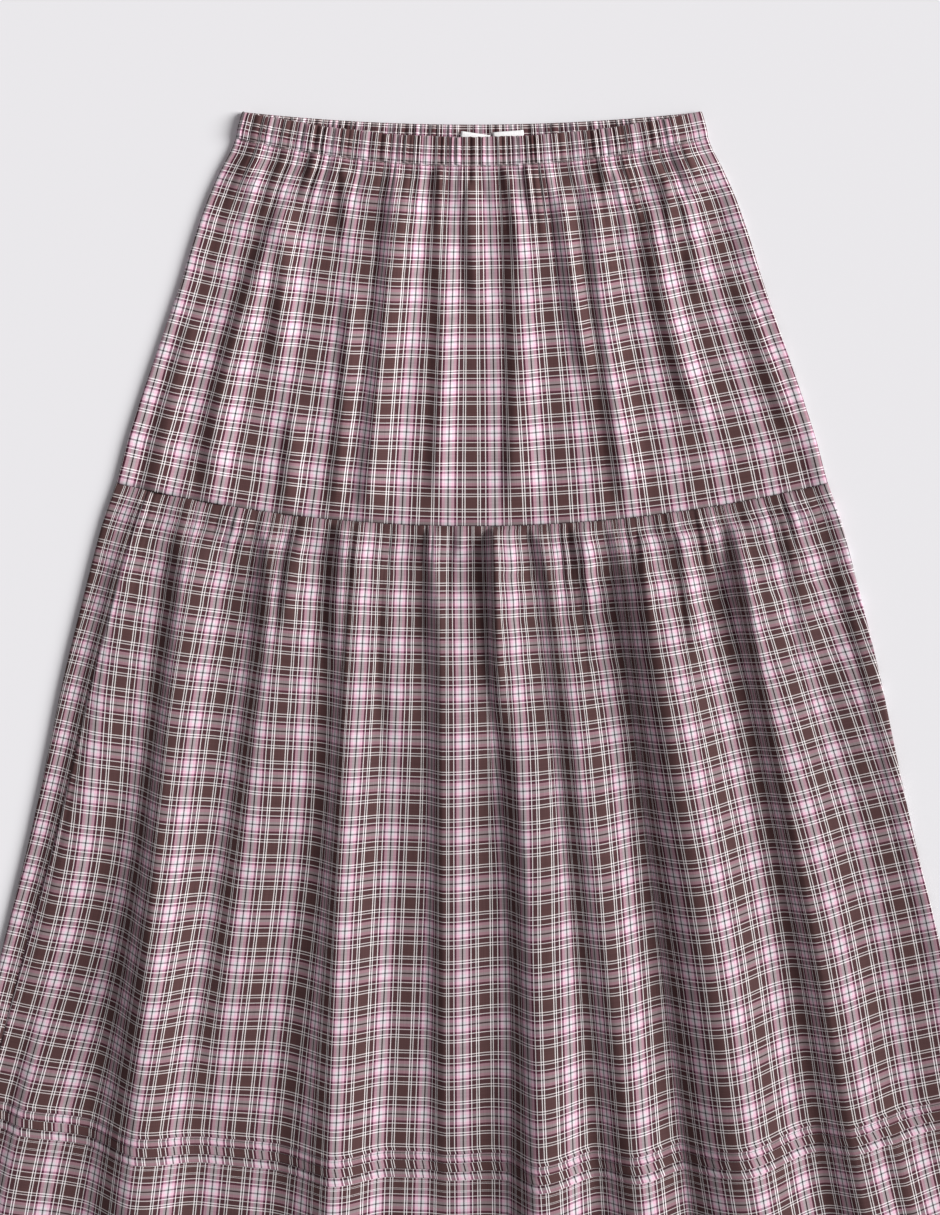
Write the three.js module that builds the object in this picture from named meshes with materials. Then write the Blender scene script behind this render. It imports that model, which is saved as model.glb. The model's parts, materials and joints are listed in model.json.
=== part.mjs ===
import * as THREE from 'three';

// A two-tiered maxi skirt lying flat, front side up. Sizes in millimetres: X across the skirt,
// Y towards the waist, Z up from the surface that it lies on.

// Main sizes
const LENGTH = 920;          // middle of the front waist edge to the hem
const CASING_DROP = 21.5;    // waist edge to the stitching under the elastic casing
const TIER_DROP = 295;       // waist edge to the seam between the two tiers
const SIDE_RISE = 20;        // how much higher the waist edge is at its ends than at its middle
const BACK_RISE = 10;        // how far the back waist edge shows above the front one
const CLOTH = 1.0;           // wall of the tiers
const CASING_CLOTH = 2.2;    // folded casing with its elastic
const SEAM_GAP = 0.3;        // clearance between pieces at a seam
const EDGE_RADIUS = 2.0;     // radius of the folded side edges, at the middle of the wall
const CASING_EDGE_RADIUS = 1.75;
const TOP_Y = (LENGTH - SIDE_RISE) / 2;

// Outline: half the width against the distance below the middle of the waist edge
const OUTLINE = [
  { down: -20, half: 174.8 },
  { down: -6, half: 178.5 },
  { down: 1, half: 180.0 },
  { down: 9, half: 183.0 },
  { down: 24, half: 190.8 },
  { down: 47, half: 201.0 },
  { down: 78, half: 211.7 },
  { down: 108, half: 220.8 },
  { down: 138, half: 231.0 },
  { down: 169, half: 241.7 },
  { down: 199, half: 251.9 },
  { down: 230, half: 261.8 },
  { down: 260, half: 269.8 },
  { down: 290, half: 280.1 },
  { down: 351, half: 296.0 },
  { down: 412, half: 310.8 },
  { down: 473, half: 323.4 },
  { down: 534, half: 336.7 },
  { down: 594, half: 351.5 },
  { down: 655, half: 366.5 },
  { down: 750, half: 388.5 },
  { down: 871, half: 414.0 },
];

// How much each crosswise row of the cloth rises from its middle to its ends
const ROW_CURVE = [
  { along: 0, rise: SIDE_RISE },
  { along: CASING_DROP, rise: 21.3 },
  { along: TIER_DROP, rise: 32.7 },
  { along: 765, rise: 44.0 },
  { along: LENGTH, rise: 49.4 },
];

// How far inside the left outline the left side seam of the lower tier lies, and how far under
// the right edge the right one lies
const SEAM_INSET = [
  { along: TIER_DROP, inset: 21.5 },
  { along: 600, inset: 15.5 },
  { along: LENGTH, inset: 9.0 },
];

// Rows of the front dip towards the hem on a fold's crest, by this share of its height
const ROW_DIP = [
  { along: CASING_DROP, share: 0 },
  { along: 150, share: 0.3 },
  { along: 240, share: 0.2 },
  { along: TIER_DROP, share: 0 },
  { along: 450, share: 0.2 },
  { along: 770, share: 0.45 },
  { along: LENGTH, share: 0.45 },
];

// Folds of the front. Each crest runs through three places, given as the distance below the
// middle of the waist edge and the distance right of the centre line. high is its height, fadeIn
// and fadeOut the lengths over which it rises and dies, steepTop and steepEnd the width of its left
// flank at its two ends, and gentle the width of its right flank. crisp is 1 for a left flank that
// is sharp at the crest, -1 for one that is sharp at its foot and 0 for an even one.
const FOLD_COLUMNS = [
  'down0', 'x0', 'down1', 'x1', 'down2', 'x2',
  'high', 'fadeIn', 'fadeOut', 'steepTop', 'steepEnd', 'gentle', 'crisp',
];
const UPPER_FOLDS = foldTable([
  [36, -133, 123, -170, 292, -200, 5.5, 30, 50, 12, 13, 22, 0],
  [120, -205, 199, -227, 288, -244, 4.0, 40, 30, 13, 14, 18, 0],
  [60, -140, 123, -144, 190, -150, 5.5, 25, 40, 12, 12, 16, 0],
  [200, -135, 240, -137, 292, -142, 4.5, 25, 25, 11, 11, 16, 0],
  [100, -92, 190, -96, 292, -105, 4.5, 40, 30, 9, 10, 16, 0],
  [25, -54, 161, -69, 292, -82, 9.0, 35, 25, 15, 13, 26, 0.5],
  [60, -27, 180, -24, 288, -31, 6.0, 40, 40, 11, 10, 18, 0.4],
  [30, -4, 85, 0, 150, 6, 4.0, 20, 45, 10, 10, 14, 0],
  [50, 34, 150, 35, 292, 29, 8.0, 35, 45, 12, 10, 27, -0.6],
  [30, 67, 118, 77, 200, 94, 7.0, 25, 50, 10, 12, 13, 0],
  [30, 89, 123, 98, 292, 120, 7.0, 25, 40, 10, 13, 22, 0],
  [32, 137, 123, 146, 232, 181, 7.5, 35, 50, 12, 12, 22, 0],
  [35, 158, 85, 167, 130, 174, 4.5, 20, 35, 10, 10, 14, 0],
  [85, 195, 161, 222, 245, 251, 4.0, 50, 40, 14, 14, 14, 0],
]);
const LOWER_FOLDS = foldTable([
  [296, -259, 427, -284, 700, -352, 6.5, 40, 150, 19, 19, 30, 0],
  [290, -214, 503, -234, 760, -254, 8.5, 40, 160, 15, 26, 32, 0],
  [420, -228, 655, -248, 960, -268, 18.0, 260, 60, 26, 64, 40, 0.1],
  [300, -139, 335, -139, 385, -141, 3.0, 20, 40, 10, 10, 18, 0],
  [300, -146, 503, -169, 800, -214, 9.0, 40, 160, 15, 28, 38, 0.2],
  [285, -91, 480, -98, 700, -106, 10.5, 30, 220, 19, 26, 14, 0.6],
  [430, -97, 655, -106, 960, -121, 18.0, 280, 60, 24, 60, 14, 0.5],
  [325, -64, 395, -62, 475, -61, 3.5, 25, 45, 11, 11, 20, 0],
  [320, -24, 560, -22, 900, -19, 7.5, 50, 260, 13, 15, 36, 0.3],
  [295, 20, 380, 26, 470, 30, 9.0, 15, 70, 10, 13, 24, -0.8],
  [400, 26, 541, 41, 960, 45, 11.0, 110, 60, 14, 26, 44, -0.4],
  [650, 44, 780, 46, 960, 46, 5.5, 90, 40, 34, 42, 38, 0],
  [296, 57, 579, 96, 960, 148, 12.0, 50, 60, 14, 38, 34, 0],
  [296, 124, 579, 173, 960, 232, 19.0, 60, 60, 20, 48, 46, -0.3],
  [296, 149, 345, 162, 410, 173, 3.5, 20, 50, 10, 10, 18, 0],
  [298, 198, 579, 255, 960, 322, 10.5, 50, 60, 14, 32, 40, 0.5],
  [290, 240, 351, 249, 420, 262, 4.5, 30, 50, 11, 11, 20, 0],
  [300, 276, 442, 312, 570, 344, 3.0, 40, 80, 10, 11, 16, 0],
  [720, 312, 800, 332, 960, 368, 5.5, 70, 40, 13, 15, 30, 0],
  [640, -318, 780, -348, 960, -378, 4.5, 90, 40, 13, 16, 36, 0],
]);

// Gathers: how many cross the front of a piece, their height at the stitching, their full height,
// how far below the stitching they are highest and how far they run
const CASING_GATHERS = 48;
const UPPER_GATHERS = { count: 48, first: 1.1, full: 2.0, rise: 14, run: 95 };
const LOWER_GATHERS = { count: 36, first: 0.8, full: 2.4, rise: 22, run: 120 };

// Four pressed tucks across the lower tier: where each folded edge lies and how deep it is
const TUCKS = [
  { name: 'pintuck_first', edge: 770.0, depth: 3.7 },
  { name: 'pintuck_second', edge: 776.7, depth: 3.9 },
  { name: 'pintuck_third', edge: 783.6, depth: 6.2 },
  { name: 'pintuck_fourth', edge: 790.2, depth: 5.3 },
];
const TUCK_CLOTH = 1.0;
const TUCK_GAP = 0.65;
const TUCK_BAND_TOP = 765.5;
const TUCK_BAND_END = 791;

// Blank labels on the inside of the back casing: left upper corner, size and turn
const LABELS = [
  { name: 'label_main', x: -8.2, down: -6.4, wide: 22.5, tall: 13.5, turn: -9.5 },
  { name: 'label_size', x: 17.0, down: -4.4, wide: 23.5, tall: 13.0, turn: 4.5 },
];
const LABEL_CLOTH = 1.0;
const LABEL_BASE = 3.5;

const CLOTH_COLOUR = 0x8d686c;
const CASING_COLOUR = 0x7d5a5e;
const TUCK_COLOUR = 0x9b757a;
const LABEL_COLOUR = 0xf0eeea;

function foldTable(lines) {
  return lines.map((line) => Object.fromEntries(line.map((size, i) => [FOLD_COLUMNS[i], size])));
}

function smooth(from, to, at) {
  const share = Math.min(1, Math.max(0, (at - from) / (to - from)));
  return share * share * (3 - 2 * share);
}

// Smooth curve through the rows of a table
function along(table, key, value, at) {
  const last = table.length - 1;
  let i = 0;
  while (i < last - 1 && at > table[i + 1][key]) i += 1;
  const a = table[i];
  const b = table[i + 1];
  const before = table[Math.max(0, i - 1)];
  const after = table[Math.min(last, i + 2)];
  const step = b[key] - a[key];
  const share = (at - a[key]) / step;
  const slopeA = ((b[value] - before[value]) / (b[key] - before[key])) * step;
  const slopeB = ((after[value] - a[value]) / (after[key] - a[key])) * step;
  if (share < 0) return a[value] + slopeA * share;
  if (share > 1) return b[value] + slopeB * (share - 1);
  const s2 = share * share;
  const s3 = s2 * share;
  return (2 * s3 - 3 * s2 + 1) * a[value] + (s3 - 2 * s2 + share) * slopeA
    + (3 * s2 - 2 * s3) * b[value] + (s3 - s2) * slopeB;
}

// Curve through three places of a fold
function crestX(fold, down) {
  const a = (down - fold.down1) * (down - fold.down2);
  const b = (down - fold.down0) * (down - fold.down2);
  const c = (down - fold.down0) * (down - fold.down1);
  return fold.x0 * a / ((fold.down0 - fold.down1) * (fold.down0 - fold.down2))
    + fold.x1 * b / ((fold.down1 - fold.down0) * (fold.down1 - fold.down2))
    + fold.x2 * c / ((fold.down2 - fold.down0) * (fold.down2 - fold.down1));
}

// Height of a left flank from its foot, 0, to its crest, 1
function flankShape(up, crisp) {
  const even = 0.35 * up + 0.65 * (0.5 - 0.5 * Math.cos(Math.PI * up));
  const atCrest = 1 - Math.cos(0.5 * Math.PI * up);
  const atFoot = Math.sin(0.5 * Math.PI * up);
  const sharp = crisp > 0 ? atCrest : atFoot;
  return even + (sharp - even) * Math.abs(crisp);
}

function foldHeight(folds, x, down) {
  let sum = 0;
  for (const fold of folds) {
    if (down <= fold.down0 || down >= fold.down2) continue;
    const share = (down - fold.down0) / (fold.down2 - fold.down0);
    const steep = fold.steepTop + (fold.steepEnd - fold.steepTop) * share;
    const away = x - crestX(fold, down);
    const reach = away < 0 ? -away / steep : away / fold.gentle;
    if (reach >= 1) continue;
    const strength = smooth(0, fold.fadeIn, down - fold.down0)
      * smooth(0, fold.fadeOut, fold.down2 - down);
    sum += fold.high * strength * flankShape(1 - reach, away < 0 ? fold.crisp : 0);
  }
  return sum;
}

// Gathers are uneven in width: their places across the cloth wander
function unevenPlace(share) {
  return share + 0.006 * Math.sin(share * 31) + 0.0035 * Math.sin(share * 67 + 1.3);
}

function gatherHeight(gathers, place, below) {
  const wave = 0.5 - 0.5 * Math.cos(2 * Math.PI * place * gathers.count);
  const uneven = 0.75 + 0.25 * Math.sin(place * 41 + 0.8);
  const grown = gathers.first + (gathers.full - gathers.first) * smooth(0, gathers.rise, below);
  const left = 1 - smooth(gathers.rise, gathers.run * (0.8 + 0.4 * Math.sin(place * 23)), below);
  return wave * uneven * grown * left;
}

function rowAt(v) {
  const rise = along(ROW_CURVE, 'along', 'rise', v);
  return { v, rise, half: along(OUTLINE, 'down', 'half', v - rise) };
}

function downAt(row, x) {
  const share = x / row.half;
  return row.v - row.rise * share * share;
}

// Height of the middle of the front wall over the surface, and how much of it the folds give
function frontHeight(row, x, wall, radius, gather, folds) {
  const reach = row.half - radius - wall / 2;
  const share = Math.min(1, Math.abs(x) / reach);
  const full = 1 - smooth(20, 90, row.v);
  const room = 1.8 + 3.4 * (1 - share ** 8);
  const base = CLOTH + SEAM_GAP + room * full + wall / 2;
  const rolled = wall / 2 + 2 * radius;
  const edge = smooth(reach - 15, reach, Math.abs(x));
  const fold = (folds ? foldHeight(folds, x, downAt(row, x)) : 0) * (1 - edge);
  return { z: (base + gather) * (1 - edge) + rolled * edge + fold, fold };
}

// A place on the loop round the flattened skirt: station -1 to 1 is the front from left to right,
// 1 to 2 the right edge, 2 to 4 the back from right to left, and -2 to -1 the left edge
function loopPlace(row, station, piece) {
  const { wall, radius } = piece;
  const reach = row.half - radius - wall / 2;
  const low = wall / 2;
  if (station >= 2 || station <= -2) {
    const x = station >= 2 ? reach * (3 - station) : reach * (-3 - station);
    return { x, z: low, fold: 0 };
  }
  if (Math.abs(station) > 1) {
    const side = Math.sign(station);
    const angle = (Math.abs(station) - 1) * Math.PI;
    return {
      x: side * (reach + radius * Math.sin(angle)),
      z: low + radius + radius * Math.cos(angle),
      fold: 0,
    };
  }
  const x = reach * station;
  const place = (station + 1) / 2;
  const gather = piece.gathers
    ? gatherHeight(piece.gathers, place, row.v - piece.start) * smooth(0, 0.05, 1 - Math.abs(station))
    : 0;
  return { x, ...frontHeight(row, x, wall, radius, gather, piece.folds) };
}

// Outer and inner point of the wall at a station, with raise added to the outer side
function wallPoints(row, station, piece, raise = 0) {
  const step = 0.002;
  const place = loopPlace(row, station, piece);
  const before = loopPlace(row, station - step, piece);
  const after = loopPlace(row, station + step, piece);
  const length = Math.hypot(after.x - before.x, after.z - before.z);
  const nx = -(after.z - before.z) / length;
  const nz = (after.x - before.x) / length;
  const share = Math.min(1, Math.abs(place.x) / row.half);
  const dip = along(ROW_DIP, 'along', 'share', row.v) * place.fold;
  const y = TOP_Y - row.v + row.rise * share * share - dip;
  const half = piece.wall / 2;
  return {
    outer: [place.x + nx * (half + raise), y, place.z + nz * (half + raise)],
    inner: [place.x - nx * half, y, place.z - nz * half],
  };
}

// Closed solid between a grid of outer points and a grid of inner points
function gridSolid(name, colour, grid) {
  const rows = grid.length;
  const columns = grid[0].length;
  const spots = [];
  for (const side of ['outer', 'inner']) {
    for (const line of grid) {
      for (const pair of line) spots.push(...pair[side]);
    }
  }
  const faces = [];
  const at = (side, r, c) => side * rows * columns + r * columns + c;
  const quad = (a, b, c, d) => faces.push(a, b, c, a, c, d);
  for (let r = 0; r < rows - 1; r += 1) {
    for (let c = 0; c < columns - 1; c += 1) {
      quad(at(0, r, c), at(0, r + 1, c), at(0, r + 1, c + 1), at(0, r, c + 1));
      quad(at(1, r, c), at(1, r, c + 1), at(1, r + 1, c + 1), at(1, r + 1, c));
    }
    quad(at(0, r, 0), at(1, r, 0), at(1, r + 1, 0), at(0, r + 1, 0));
    const e = columns - 1;
    quad(at(0, r, e), at(0, r + 1, e), at(1, r + 1, e), at(1, r, e));
  }
  for (let c = 0; c < columns - 1; c += 1) {
    quad(at(0, 0, c), at(0, 0, c + 1), at(1, 0, c + 1), at(1, 0, c));
    const b = rows - 1;
    quad(at(0, b, c), at(1, b, c), at(1, b, c + 1), at(0, b, c + 1));
  }
  const geometry = new THREE.BufferGeometry();
  geometry.setAttribute('position', new THREE.Float32BufferAttribute(spots, 3));
  geometry.setIndex(faces);
  geometry.computeVertexNormals();
  const mesh = new THREE.Mesh(
    geometry,
    new THREE.MeshStandardMaterial({ color: colour, roughness: 0.9, name: `${name}_cloth` }),
  );
  mesh.name = name;
  return mesh;
}

// Even stations from one end to the other, three to a gather
function gatherStations(count, from) {
  const stations = [];
  for (let i = 0; i <= count * 3; i += 1) {
    const share = unevenPlace(i / (count * 3));
    stations.push(i === 0 ? from : i === count * 3 ? 1 : share * 2 - 1);
  }
  return stations.filter((s, i) => i === 0 || s > from + 0.004);
}

const EDGE_STEPS = [0.25, 0.5, 0.75];
const rightEdge = EDGE_STEPS.map((s) => 1 + s);
const leftEdge = EDGE_STEPS.map((s) => -2 + s);
const closing = (SEAM_GAP / 2) / 200;

const casing = { wall: CASING_CLOTH, radius: CASING_EDGE_RADIUS, start: 0 };
const upperTier = {
  wall: CLOTH, radius: EDGE_RADIUS, start: CASING_DROP, gathers: UPPER_GATHERS, folds: UPPER_FOLDS,
};
const lowerTier = {
  wall: CLOTH, radius: EDGE_RADIUS, start: TIER_DROP, gathers: LOWER_GATHERS, folds: LOWER_FOLDS,
};

function casingFront() {
  const stations = [
    -2, ...leftEdge, ...gatherStations(CASING_GATHERS, -1), ...rightEdge, 2,
  ];
  const grid = [0, CASING_DROP / 2, CASING_DROP - SEAM_GAP].map((v, r) => {
    const row = rowAt(v);
    return stations.map((s) => {
      const flat = Math.abs(s) >= 1 || s > 0.87;
      const wave = 0.5 - 0.5 * Math.cos(Math.PI * (s + 1) * CASING_GATHERS);
      return wallPoints(row, s, casing, flat ? 0 : wave * (r === 1 ? 1.1 : 0.7));
    });
  });
  return gridSolid('waist_casing_front', CASING_COLOUR, grid);
}

// Back pieces lie flat: a plain underside at the surface and rows that rise to the back waist
function backGrid(piece, rows, columns, topRaise) {
  return rows.map((v, r) => {
    const row = rowAt(v);
    const reach = row.half - piece.radius - piece.wall / 2 - SEAM_GAP;
    return columns.map((c) => {
      const x = reach * c;
      const share = x / row.half;
      const lengthened = BACK_RISE * (1 - c * c) * (1 - v / TIER_DROP);
      const y = TOP_Y - v + row.rise * share * share + Math.max(0, lengthened);
      return { outer: [x, y, piece.wall + topRaise(r, c)], inner: [x, y, 0] };
    });
  });
}

function casingBack() {
  const count = 40;
  const columns = [];
  for (let i = 0; i <= count * 2; i += 1) columns.push(-1 + i / count);
  const raise = (r, c) => {
    const wave = Math.round((c + 1) * count) % 2;
    return r < 2 && Math.abs(c) < 0.9 ? wave * 1.0 : 0;
  };
  const grid = backGrid(casing, [0, CASING_DROP / 2, CASING_DROP - SEAM_GAP], columns, raise);
  return gridSolid('waist_casing_back', CASING_COLOUR, grid);
}

function evenly(from, to, count) {
  return Array.from({ length: count + 1 }, (_, i) => from + ((to - from) * i) / count);
}

const UPPER_ROWS = [CASING_DROP, 36, 62, 105, 165, 230, TIER_DROP - SEAM_GAP];

function upperFront() {
  const stations = [
    -2, ...leftEdge, ...gatherStations(UPPER_GATHERS.count, -1), ...rightEdge, 2,
  ];
  const grid = UPPER_ROWS.map((v) => {
    const row = rowAt(v);
    return stations.map((s) => wallPoints(row, s, upperTier));
  });
  return gridSolid('upper_tier_front', CLOTH_COLOUR, grid);
}

function upperBack() {
  const grid = backGrid(upperTier, UPPER_ROWS, evenly(-1, 1, 20), () => 0);
  return gridSolid('upper_tier_back', CLOTH_COLOUR, grid);
}

const LOWER_ROWS = [
  TIER_DROP, 313, 340, 400, 470, 550, 640, TUCK_BAND_TOP, TUCK_BAND_END, 855, LENGTH,
];

function insetShare(row) {
  return along(SEAM_INSET, 'along', 'inset', row.v) / (row.half - EDGE_RADIUS - CLOTH / 2);
}

// Stations of the lower front: the left seam lies on top, the right one under the right edge
function lowerStations(row) {
  const inset = insetShare(row);
  const even = gatherStations(LOWER_GATHERS.count, -1);
  const first = -1 + inset + closing;
  const top = even.map((s) => first + ((s + 1) / 2) * (1 - first));
  return [...top, ...rightEdge, 2, 2 + inset - closing];
}

const lowerGrid = LOWER_ROWS.map((v) => {
  const row = rowAt(v);
  return lowerStations(row).map((s) => wallPoints(row, s, lowerTier));
});

function lowerFront() {
  return gridSolid('lower_tier_front', CLOTH_COLOUR, lowerGrid);
}

// The back wraps round the left edge up to the seam on top
function lowerBack() {
  const grid = LOWER_ROWS.map((v) => {
    const row = rowAt(v);
    const inset = insetShare(row);
    const end = 2 + inset + closing;
    const under = evenly(end, 4, 18).map((s) => wallPoints(row, s, lowerTier));
    const edge = [...leftEdge, -1].map((s) => wallPoints(row, s, lowerTier));
    const onTop = evenly(-1, -1 + inset - closing, 3).slice(1)
      .map((s) => wallPoints(row, s, lowerTier));
    return [...under, ...edge, ...onTop];
  });
  return gridSolid('lower_tier_back', CLOTH_COLOUR, grid);
}

// Tucks lie on the front panel: its outer points between two rows, moved out
function tuck({ name, edge, depth }) {
  const upper = lowerGrid[LOWER_ROWS.indexOf(TUCK_BAND_TOP)];
  const lower = lowerGrid[LOWER_ROWS.indexOf(TUCK_BAND_END)];
  const last = upper.length - 3;
  const grid = [edge - depth, edge].map((v) => {
    const share = (v - TUCK_BAND_TOP) / (TUCK_BAND_END - TUCK_BAND_TOP);
    return upper.slice(0, last).map((pair, c) => {
      const mix = (side, k) => pair[side][k] + (lower[c][side][k] - pair[side][k]) * share;
      const out = [0, 1, 2].map((k) => mix('outer', k));
      const inside = [0, 1, 2].map((k) => mix('inner', k));
      const moved = (by) => out.map((p, k) => p + ((p - inside[k]) / CLOTH) * by);
      return { outer: moved(TUCK_GAP + TUCK_CLOTH), inner: moved(TUCK_GAP) };
    });
  });
  return gridSolid(name, TUCK_COLOUR, grid);
}

function label({ name, x, down, wide, tall, turn }) {
  const angle = THREE.MathUtils.degToRad(turn);
  const corner = (a, b, z) => [
    x + a * Math.cos(angle) + b * Math.sin(angle),
    TOP_Y - down + a * Math.sin(angle) - b * Math.cos(angle),
    z,
  ];
  const grid = [0, tall].map((b) => [0, wide].map((a) => ({
    outer: corner(a, b, LABEL_BASE + LABEL_CLOTH),
    inner: corner(a, b, LABEL_BASE),
  })));
  return gridSolid(name, LABEL_COLOUR, grid);
}

const skirt = new THREE.Group();
skirt.name = 'maxi_skirt';
skirt.add(casingFront(), casingBack(), upperFront(), upperBack(), lowerFront(), lowerBack());
TUCKS.forEach((size) => skirt.add(tuck(size)));
LABELS.forEach((size) => skirt.add(label(size)));

export default skirt;
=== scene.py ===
import json
import math

import bpy
import numpy as np
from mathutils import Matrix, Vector

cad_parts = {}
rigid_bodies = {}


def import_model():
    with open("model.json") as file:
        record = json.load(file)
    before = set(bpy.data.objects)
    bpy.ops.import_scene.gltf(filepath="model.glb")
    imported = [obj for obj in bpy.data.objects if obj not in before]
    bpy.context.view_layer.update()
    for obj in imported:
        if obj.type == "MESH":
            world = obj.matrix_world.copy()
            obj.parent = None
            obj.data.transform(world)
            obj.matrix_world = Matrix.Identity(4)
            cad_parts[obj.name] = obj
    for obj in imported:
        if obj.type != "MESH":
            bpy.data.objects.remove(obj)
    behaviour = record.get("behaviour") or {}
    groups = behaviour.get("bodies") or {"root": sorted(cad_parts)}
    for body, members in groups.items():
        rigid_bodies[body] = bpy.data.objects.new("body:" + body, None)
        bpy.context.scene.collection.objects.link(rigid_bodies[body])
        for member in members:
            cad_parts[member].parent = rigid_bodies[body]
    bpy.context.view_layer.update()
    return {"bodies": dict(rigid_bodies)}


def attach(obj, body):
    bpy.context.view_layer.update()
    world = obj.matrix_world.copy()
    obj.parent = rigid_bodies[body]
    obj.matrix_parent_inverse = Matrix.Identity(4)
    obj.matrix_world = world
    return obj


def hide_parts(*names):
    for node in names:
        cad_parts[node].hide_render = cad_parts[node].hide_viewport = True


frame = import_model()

MM = 0.001

# Main sizes in millimetres, the same as the solid model's
LENGTH = 920.0
CASING_DROP = 21.5
TIER_DROP = 295.0
SIDE_RISE = 20.0
BACK_RISE = 10.0
CLOTH = 1.0
CASING_CLOTH = 2.2
SEAM_GAP = 0.3
EDGE_RADIUS = 2.0
CASING_EDGE_RADIUS = 1.75
TOP_Y = (LENGTH - SIDE_RISE) / 2

# Cut of the cloth that shows, half round the skirt: width before it was gathered, length
UPPER_CUT = 545.0
UPPER_LONG = 275.0
LOWER_CUT = 900.0
LOWER_LONG = 625.0
CASING_LONG = 2 * CASING_DROP

# Thickness that the sheets are drawn with, and how deep the hem is turned
SHELL = 0.45
HEM_TURN = 18.0

# Outline: distance below the middle of the waist edge, half width
OUTLINE = [
    (-20, 174.8), (-6, 178.5), (1, 180.0), (9, 183.0), (24, 190.8), (47, 201.0),
    (78, 211.7), (108, 220.8), (138, 231.0), (169, 241.7), (199, 251.9), (230, 261.8),
    (260, 269.8), (290, 280.1), (351, 296.0), (412, 310.8), (473, 323.4), (534, 336.7),
    (594, 351.5), (655, 366.5), (750, 388.5), (871, 414.0),
]
# Crosswise rows: distance along the cloth, rise from the middle to the ends
ROW_CURVE = [(0, 20.0), (21.5, 21.3), (295, 32.7), (765, 44.0), (920, 49.4)]
# Left side seam of the lower tier: distance along, inset from the outline
SEAM_INSET = [(295, 21.5), (600, 15.5), (920, 9.0)]
# Rows dip towards the hem on a fold's crest: distance along, share of the fold's height
DIP = [(21.5, 0.0), (150, 0.3), (240, 0.2), (295, 0.0), (450, 0.2), (770, 0.45), (920, 0.45)]

# Folds. The crest runs through three places, down and x. Then come its height, the runs over
# which it fades in and out, the width of its steep left flank at both ends, the width of its
# gentle right flank, and how crisp the steep flank is: over 0 at the crest, under 0 at the foot.
# down0 x0 down1 x1 down2 x2 high fadeIn fadeOut steepTop steepEnd gentle crisp
UPPER_FOLDS = np.array([
    [36, -133, 123, -170, 292, -200, 5.5, 30, 50, 12, 13, 22, 0.0],
    [120, -205, 199, -227, 288, -244, 4.0, 40, 30, 13, 14, 18, 0.0],
    [60, -140, 123, -144, 190, -150, 5.5, 25, 40, 12, 12, 16, 0.0],
    [200, -135, 240, -137, 292, -142, 4.5, 25, 25, 11, 11, 16, 0.0],
    [100, -92, 190, -96, 292, -105, 4.5, 40, 30, 9, 10, 16, 0.0],
    [25, -54, 161, -69, 292, -82, 6.8, 35, 25, 15, 13, 26, 0.5],
    [60, -27, 180, -24, 288, -31, 3.8, 40, 40, 11, 10, 18, 0.4],
    [30, -4, 85, 0, 150, 6, 4.0, 20, 45, 10, 10, 14, 0.0],
    [50, 34, 150, 35, 292, 29, 5.0, 35, 45, 12, 10, 27, -0.6],
    [30, 67, 118, 77, 200, 94, 6.2, 25, 50, 10, 12, 13, 0.0],
    [30, 89, 123, 98, 292, 120, 6.0, 25, 40, 10, 13, 22, 0.0],
    [32, 137, 123, 146, 232, 181, 5.8, 35, 50, 12, 12, 22, 0.0],
    [35, 158, 85, 167, 130, 174, 4.5, 20, 35, 10, 10, 14, 0.0],
    [85, 195, 161, 222, 245, 251, 4.0, 50, 40, 14, 14, 14, 0.0],
    # Short creases under the casing
    [22, -161, 40, -167, 90, -178, 2.6, 8, 40, 5, 7, 10, -0.5],
    [22, -96, 55, -96, 100, -97, 3.2, 6, 45, 5, 7, 12, -0.7],
    [22, -25, 50, -25, 90, -26, 3.0, 6, 40, 4, 6, 9, -0.7],
    [22, 26, 47, 30, 110, 37, 4.0, 6, 50, 5, 7, 10, -0.7],
    [20, 41.5, 47, 46, 75, 50, 3.0, 6, 30, 4.5, 6, 9, -0.6],
    [20, 99, 45, 103, 80, 108, 3.0, 6, 35, 4.5, 6, 9, -0.6],
    [24, 108, 47, 112.5, 100, 123, 3.2, 8, 45, 5, 7, 12, -0.6],
    [26, 147, 60, 151, 110, 160, 3.5, 8, 45, 5, 8, 12, -0.7],
])
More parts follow.
